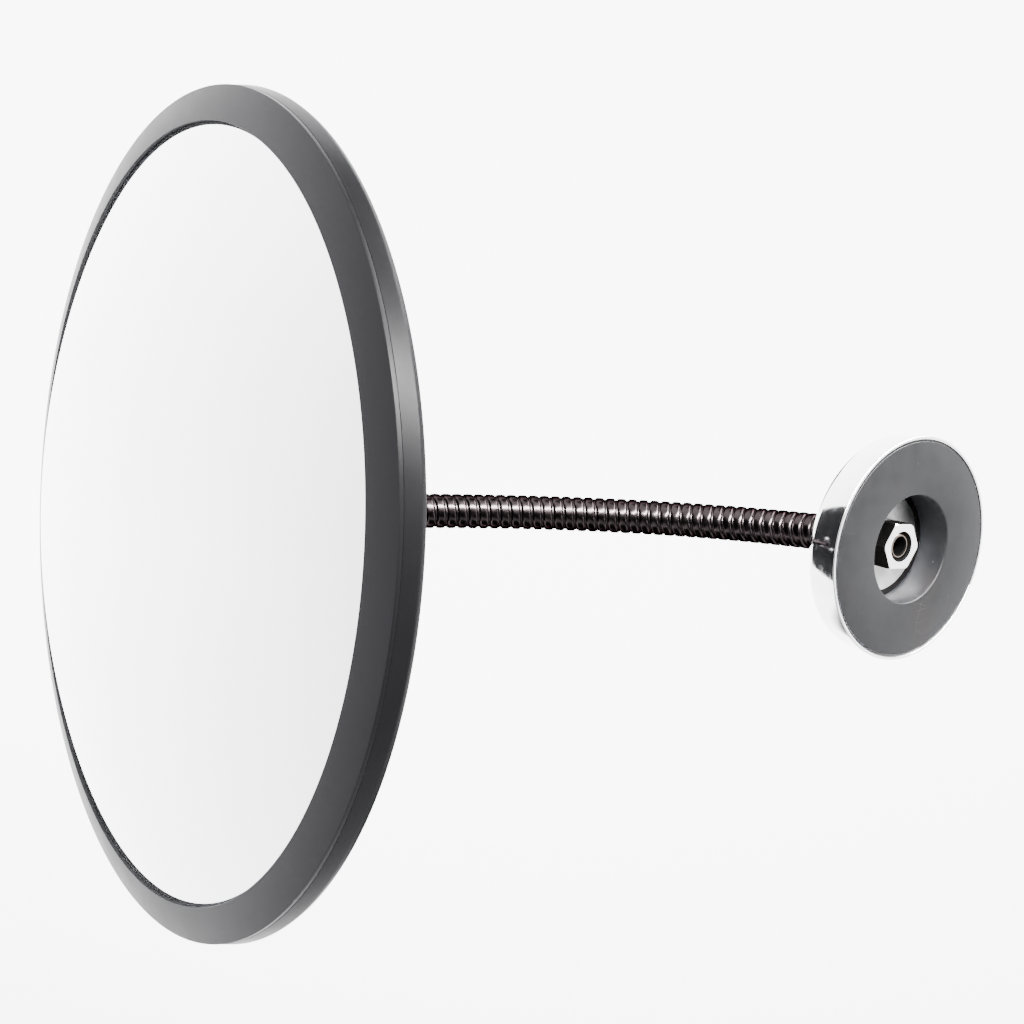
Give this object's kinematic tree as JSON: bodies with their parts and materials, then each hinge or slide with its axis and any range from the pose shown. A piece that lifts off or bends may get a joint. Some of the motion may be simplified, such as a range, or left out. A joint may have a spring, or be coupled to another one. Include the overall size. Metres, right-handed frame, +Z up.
{
  "type": "convex mirror",
  "caption": "Round convex observation mirror in a grey plastic housing, on a bendable black metal gooseneck with a nickel-plated ring-magnet foot",
  "frame": {"origin": "centre of the magnet's contact face", "axes": "+Y is the contact face's outward normal, +Z is up, and +X is the way the mirror faces at rest"},
  "size_m": [0.271, 0.3157, 0.302],
  "materials": {
    "silvered_acrylic": "polished, silvered behind",
    "grey_plastic": "fine satin moulded texture",
    "foam": "closed-cell foam",
    "cup_chrome": "bright nickel-chrome plate",
    "ferrite": "ground ceramic face with fine scratches",
    "resin": "dull black",
    "zinc": "bright zinc plate",
    "steel": "plain sheet steel",
    "black_steel": "gloss black",
    "black_wire": "oiled black"
  },
  "bodies": {
    "base": {"magnet_cup": "cup_chrome", "ferrite_ring": "ferrite", "resin_ring": "resin", "base_nut": "zinc", "base_nipple": "zinc", "base_ferrule": "black_steel", "outer_coil_00": "black_steel", "inner_coil_00": "black_wire"},
    "link_01": {"outer_coil_01": "black_steel", "inner_coil_01": "black_wire"},
    "link_02": {"outer_coil_02": "black_steel", "inner_coil_02": "black_wire"},
    "link_03": {"outer_coil_03": "black_steel", "inner_coil_03": "black_wire"},
    "link_04": {"outer_coil_04": "black_steel", "inner_coil_04": "black_wire"},
    "link_05": {"outer_coil_05": "black_steel", "inner_coil_05": "black_wire"},
    "link_06": {"outer_coil_06": "black_steel", "inner_coil_06": "black_wire"},
    "link_07": {"outer_coil_07": "black_steel", "inner_coil_07": "black_wire"},
    "link_08": {"outer_coil_08": "black_steel", "inner_coil_08": "black_wire"},
    "link_09": {"outer_coil_09": "black_steel", "inner_coil_09": "black_wire"},
    "link_10": {"outer_coil_10": "black_steel", "inner_coil_10": "black_wire"},
    "link_11": {"outer_coil_11": "black_steel", "inner_coil_11": "black_wire"},
    "head": {"mirror_lens": "silvered_acrylic", "front_bezel": "grey_plastic", "lens_gasket": "foam", "back_shell": "grey_plastic", "hub_plate": "steel", "hub_screw_1": "zinc", "hub_screw_2": "zinc", "hub_screw_3": "zinc", "head_lock_washer": "zinc", "head_nut": "zinc", "head_nipple": "zinc", "head_seal_washer": "resin", "head_ferrule": "black_steel", "outer_coil_12": "black_steel", "inner_coil_12": "black_wire"}
  },
  "joints": [
    {"name": "base_swing", "type": "hinge", "parent": "base", "child": "link_01", "pos_m": [0.00036, -0.03131, -0.00096], "axis": [0, 0, 1], "range_deg": [-28, 8]},
    {"name": "base_lift", "type": "hinge", "parent": "link_01", "child": "link_02", "pos_m": [0.00337, -0.05169, -0.0029], "axis": [-0.975, -0.2222, 0], "range_deg": [-15, 15]},
    {"name": "base_swing_2", "type": "hinge", "parent": "link_02", "child": "link_03", "pos_m": [0.00956, -0.07135, -0.00483], "axis": [0, 0, 1], "range_deg": [-28, 8]},
    {"name": "base_lift_2", "type": "hinge", "parent": "link_03", "child": "link_04", "pos_m": [0.0189, -0.08972, -0.00672], "axis": [-0.851, -0.5251, 0], "range_deg": [-15, 15]},
    {"name": "base_swing_3", "type": "hinge", "parent": "link_04", "child": "link_05", "pos_m": [0.0311, -0.10634, -0.00851], "axis": [0, 0, 1], "range_deg": [-28, 8]},
    {"name": "base_lift_3", "type": "hinge", "parent": "link_05", "child": "link_06", "pos_m": [0.04571, -0.1209, -0.01019], "axis": [-0.6525, -0.7578, 0], "range_deg": [-15, 15]},
    {"name": "head_swing", "type": "hinge", "parent": "link_06", "child": "link_07", "pos_m": [0.06224, -0.13327, -0.01174], "axis": [0, 0, 1], "range_deg": [-28, 8]},
    {"name": "head_lift", "type": "hinge", "parent": "link_07", "child": "link_08", "pos_m": [0.08021, -0.14345, -0.01316], "axis": [-0.4404, -0.8978, 0], "range_deg": [-15, 15]},
    {"name": "head_swing_2", "type": "hinge", "parent": "link_08", "child": "link_09", "pos_m": [0.09925, -0.15151, -0.01446], "axis": [0, 0, 1], "range_deg": [-28, 8]},
    {"name": "head_lift_2", "type": "hinge", "parent": "link_09", "child": "link_10", "pos_m": [0.11903, -0.15753, -0.01563], "axis": [-0.2437, -0.9698, 0], "range_deg": [-15, 15]},
    {"name": "head_swing_3", "type": "hinge", "parent": "link_10", "child": "link_11", "pos_m": [0.1393, -0.16162, -0.0167], "axis": [0, 0, 1], "range_deg": [-28, 8]},
    {"name": "head_lift_3", "type": "hinge", "parent": "link_11", "child": "head", "pos_m": [0.15987, -0.16385, -0.01766], "axis": [-0.064, -0.9979, 0], "range_deg": [-15, 15]}
  ],
  "couplings": [
    {"joint": "base_swing_2", "follows": "base_swing", "ratio": 1},
    {"joint": "base_lift_2", "follows": "base_lift", "ratio": 1},
    {"joint": "base_swing_3", "follows": "base_swing", "ratio": 1},
    {"joint": "base_lift_3", "follows": "base_lift", "ratio": 1},
    {"joint": "head_swing_2", "follows": "head_swing", "ratio": 1},
    {"joint": "head_lift_2", "follows": "head_lift", "ratio": 1},
    {"joint": "head_swing_3", "follows": "head_swing", "ratio": 1},
    {"joint": "head_lift_3", "follows": "head_lift", "ratio": 1}
  ]
}
